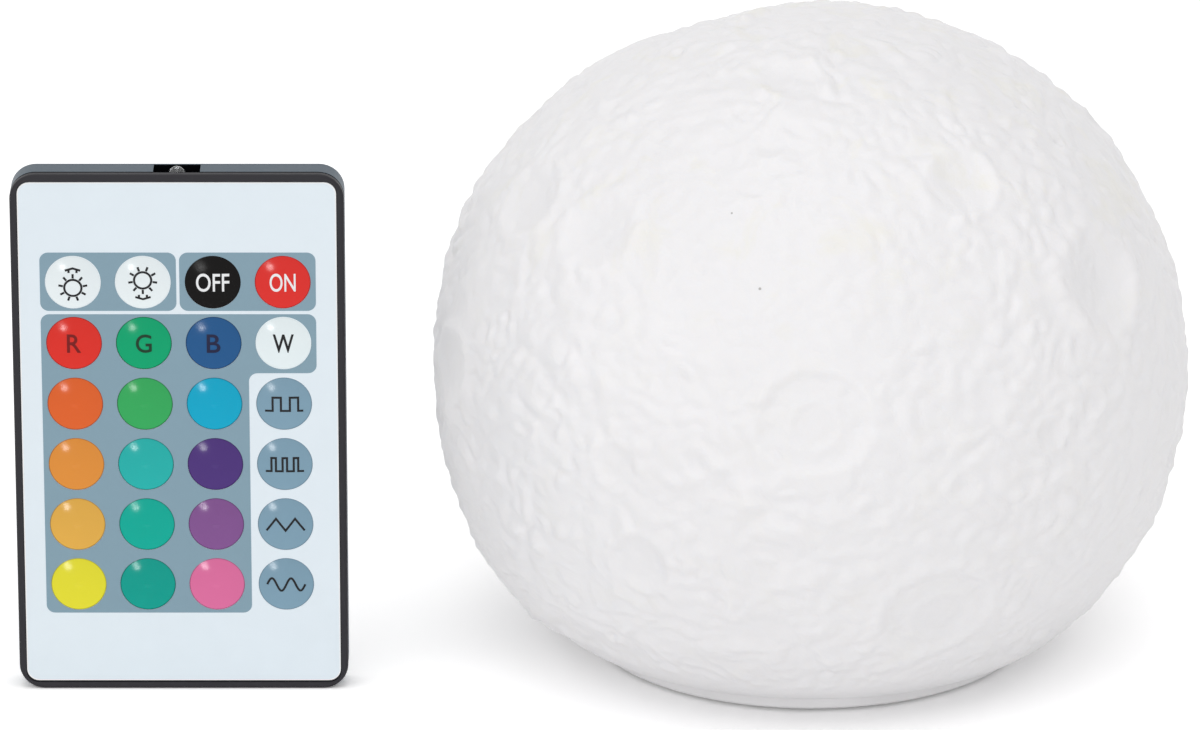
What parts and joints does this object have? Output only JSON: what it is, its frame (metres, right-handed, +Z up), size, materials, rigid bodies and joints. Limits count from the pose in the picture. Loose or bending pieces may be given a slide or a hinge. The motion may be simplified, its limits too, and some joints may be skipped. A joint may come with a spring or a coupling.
{
  "type": "led sphere lamp",
  "caption": "White moon-shaped ball lamp on a battery base with colour LEDs, and its flat hand-held remote with round keys standing beside it.",
  "frame": {"origin": "on the table, on the lamp's upright axis, in the plane of the foot ring's underside", "axes": "+Z up along the lamp's axis; -Y is the front, where the remote's keys face; +X to the right as seen from the front"},
  "size_m": [0.1853, 0.1206, 0.1033],
  "materials": {
    "moon_plastic": "matte, moulded, lets light through",
    "base_plastic": "fine satin moulding texture",
    "soft_rubber": "matte",
    "screw_steel": "zinc plated",
    "cell_wrap": "printed film over steel, plain",
    "nickel_plate": "nickel plated spring steel",
    "light_board_white": "white solder mask",
    "led_white": "ceramic body with a clear window",
    "black_epoxy": "moulded epoxy",
    "small_parts": "mixed small parts",
    "resonator_blue": "lacquered",
    "switch_black": "moulded",
    "lead_red_skin": "soft insulation",
    "lead_black_skin": "soft insulation",
    "lead_white_skin": "soft insulation",
    "remote_case_plastic": "fine spark-eroded texture",
    "overlay_film": "printed polyester film",
    "remote_board_green": "green solder mask",
    "clear_epoxy": "clear epoxy lens",
    "coin_steel": "stamped steel",
    "key_brighter_film": "printed film dome",
    "key_dimmer_film": "printed film dome",
    "key_off_film": "printed film dome",
    "key_on_film": "printed film dome",
    "key_red_film": "printed film dome",
    "key_green_film": "printed film dome",
    "key_blue_film": "printed film dome",
    "key_white_film": "printed film dome",
    "key_orange_film": "printed film dome",
    "key_lime_film": "printed film dome",
    "key_sky_film": "printed film dome",
    "key_flash_film": "printed film dome",
    "key_apricot_film": "printed film dome",
    "key_turquoise_film": "printed film dome",
    "key_violet_film": "printed film dome",
    "key_strobe_film": "printed film dome",
    "key_amber_film": "printed film dome",
    "key_teal_film": "printed film dome",
    "key_purple_film": "printed film dome",
    "key_fade_film": "printed film dome",
    "key_yellow_film": "printed film dome",
    "key_sea_green_film": "printed film dome",
    "key_pink_film": "printed film dome",
    "key_smooth_film": "printed film dome"
  },
  "bodies": {
    "base_unit": {"base_housing": "base_plastic", "seal_ring": "soft_rubber", "foot_ring": "soft_rubber", "battery_cells": "cell_wrap", "battery_contacts": "nickel_plate", "battery_springs": "nickel_plate", "led_deck": "base_plastic", "deck_screws": "screw_steel", "light_board": "light_board_white", "board_screws": "screw_steel", "colour_leds": "led_white", "ir_receiver": "black_epoxy", "control_chip": "black_epoxy", "board_parts": "small_parts", "switch_body": "switch_black", "lead_plus": "lead_red_skin", "lead_minus": "lead_black_skin", "switch_leads": "lead_white_skin"},
    "shell": {"moon_shell": "moon_plastic"},
    "battery_door": {"battery_cover": "base_plastic"},
    "door_screw_front": {"cover_screw_front": "screw_steel"},
    "door_screw_back": {"cover_screw_back": "screw_steel"},
    "switch_slider": {"switch_knob": "switch_black"},
    "remote": {"remote_back_case": "remote_case_plastic", "remote_front_case": "remote_case_plastic", "keypad_overlay": "overlay_film", "snap_domes": "nickel_plate", "remote_board": "remote_board_green", "remote_chip": "black_epoxy", "remote_resonator": "resonator_blue", "remote_ir_led": "clear_epoxy", "coin_contacts": "nickel_plate"},
    "tray": {"coin_tray": "remote_case_plastic", "coin_cell": "coin_steel"},
    "key_brighter": {"key_brighter": "key_brighter_film"},
    "key_dimmer": {"key_dimmer": "key_dimmer_film"},
    "key_off": {"key_off": "key_off_film"},
    "key_on": {"key_on": "key_on_film"},
    "key_red": {"key_red": "key_red_film"},
    "key_green": {"key_green": "key_green_film"},
    "key_blue": {"key_blue": "key_blue_film"},
    "key_white": {"key_white": "key_white_film"},
    "key_orange": {"key_orange": "key_orange_film"},
    "key_lime": {"key_lime": "key_lime_film"},
    "key_sky": {"key_sky": "key_sky_film"},
    "key_flash": {"key_flash": "key_flash_film"},
    "key_apricot": {"key_apricot": "key_apricot_film"},
    "key_turquoise": {"key_turquoise": "key_turquoise_film"},
    "key_violet": {"key_violet": "key_violet_film"},
    "key_strobe": {"key_strobe": "key_strobe_film"},
    "key_amber": {"key_amber": "key_amber_film"},
    "key_teal": {"key_teal": "key_teal_film"},
    "key_purple": {"key_purple": "key_purple_film"},
    "key_fade": {"key_fade": "key_fade_film"},
    "key_yellow": {"key_yellow": "key_yellow_film"},
    "key_sea_green": {"key_sea_green": "key_sea_green_film"},
    "key_pink": {"key_pink": "key_pink_film"},
    "key_smooth": {"key_smooth": "key_smooth_film"}
  },
  "joints": [
    {"name": "shell_lift", "type": "slide", "parent": "base_unit", "child": "shell", "axis": [0, 0, 1], "range_m": [0, 0.12]},
    {"name": "battery_door_lift", "type": "slide", "parent": "base_unit", "child": "battery_door", "axis": [0, 0, -1], "range_m": [0, 0.02]},
    {"name": "door_screw_front_turn", "type": "hinge", "parent": "battery_door", "child": "door_screw_front", "pos_m": [0, -0.0276, 0], "axis": [0, 0, 1], "continuous": true},
    {"name": "door_screw_back_turn", "type": "hinge", "parent": "battery_door", "child": "door_screw_back", "pos_m": [0, 0.0276, 0], "axis": [0, 0, 1], "continuous": true},
    {"name": "power_switch_slide", "type": "slide", "parent": "base_unit", "child": "switch_slider", "axis": [0, 1, 0], "range_m": [0, 0.0024]},
    {"name": "remote_lift", "type": "slide", "parent": "base_unit", "child": "remote", "axis": [0, 0, 1], "range_m": [0, 0.12]},
    {"name": "coin_tray_pull", "type": "slide", "parent": "remote", "child": "tray", "axis": [0, 0, -1], "range_m": [0, 0.026]},
    {"name": "key_brighter_press", "type": "slide", "parent": "remote", "child": "key_brighter", "axis": [0, 1, 0], "range_m": [0, 0.0003], "stiffness_N_per_m": 1000},
    {"name": "key_dimmer_press", "type": "slide", "parent": "remote", "child": "key_dimmer", "axis": [0, 1, 0], "range_m": [0, 0.0003], "stiffness_N_per_m": 1000},
    {"name": "key_off_press", "type": "slide", "parent": "remote", "child": "key_off", "axis": [0, 1, 0], "range_m": [0, 0.0003], "stiffness_N_per_m": 1000},
    {"name": "key_on_press", "type": "slide", "parent": "remote", "child": "key_on", "axis": [0, 1, 0], "range_m": [0, 0.0003], "stiffness_N_per_m": 1000},
    {"name": "key_red_press", "type": "slide", "parent": "remote", "child": "key_red", "axis": [0, 1, 0], "range_m": [0, 0.0003], "stiffness_N_per_m": 1000},
    {"name": "key_green_press", "type": "slide", "parent": "remote", "child": "key_green", "axis": [0, 1, 0], "range_m": [0, 0.0003], "stiffness_N_per_m": 1000},
    {"name": "key_blue_press", "type": "slide", "parent": "remote", "child": "key_blue", "axis": [0, 1, 0], "range_m": [0, 0.0003], "stiffness_N_per_m": 1000},
    {"name": "key_white_press", "type": "slide", "parent": "remote", "child": "key_white", "axis": [0, 1, 0], "range_m": [0, 0.0003], "stiffness_N_per_m": 1000},
    {"name": "key_orange_press", "type": "slide", "parent": "remote", "child": "key_orange", "axis": [0, 1, 0], "range_m": [0, 0.0003], "stiffness_N_per_m": 1000},
    {"name": "key_lime_press", "type": "slide", "parent": "remote", "child": "key_lime", "axis": [0, 1, 0], "range_m": [0, 0.0003], "stiffness_N_per_m": 1000},
    {"name": "key_sky_press", "type": "slide", "parent": "remote", "child": "key_sky", "axis": [0, 1, 0], "range_m": [0, 0.0003], "stiffness_N_per_m": 1000},
    {"name": "key_flash_press", "type": "slide", "parent": "remote", "child": "key_flash", "axis": [0, 1, 0], "range_m": [0, 0.0003], "stiffness_N_per_m": 1000},
    {"name": "key_apricot_press", "type": "slide", "parent": "remote", "child": "key_apricot", "axis": [0, 1, 0], "range_m": [0, 0.0003], "stiffness_N_per_m": 1000},
    {"name": "key_turquoise_press", "type": "slide", "parent": "remote", "child": "key_turquoise", "axis": [0, 1, 0], "range_m": [0, 0.0003], "stiffness_N_per_m": 1000},
    {"name": "key_violet_press", "type": "slide", "parent": "remote", "child": "key_violet", "axis": [0, 1, 0], "range_m": [0, 0.0003], "stiffness_N_per_m": 1000},
    {"name": "key_strobe_press", "type": "slide", "parent": "remote", "child": "key_strobe", "axis": [0, 1, 0], "range_m": [0, 0.0003], "stiffness_N_per_m": 1000},
    {"name": "key_amber_press", "type": "slide", "parent": "remote", "child": "key_amber", "axis": [0, 1, 0], "range_m": [0, 0.0003], "stiffness_N_per_m": 1000},
    {"name": "key_teal_press", "type": "slide", "parent": "remote", "child": "key_teal", "axis": [0, 1, 0], "range_m": [0, 0.0003], "stiffness_N_per_m": 1000},
    {"name": "key_purple_press", "type": "slide", "parent": "remote", "child": "key_purple", "axis": [0, 1, 0], "range_m": [0, 0.0003], "stiffness_N_per_m": 1000},
    {"name": "key_fade_press", "type": "slide", "parent": "remote", "child": "key_fade", "axis": [0, 1, 0], "range_m": [0, 0.0003], "stiffness_N_per_m": 1000},
    {"name": "key_yellow_press", "type": "slide", "parent": "remote", "child": "key_yellow", "axis": [0, 1, 0], "range_m": [0, 0.0003], "stiffness_N_per_m": 1000},
    {"name": "key_sea_green_press", "type": "slide", "parent": "remote", "child": "key_sea_green", "axis": [0, 1, 0], "range_m": [0, 0.0003], "stiffness_N_per_m": 1000},
    {"name": "key_pink_press", "type": "slide", "parent": "remote", "child": "key_pink", "axis": [0, 1, 0], "range_m": [0, 0.0003], "stiffness_N_per_m": 1000},
    {"name": "key_smooth_press", "type": "slide", "parent": "remote", "child": "key_smooth", "axis": [0, 1, 0], "range_m": [0, 0.0003], "stiffness_N_per_m": 1000}
  ]
}
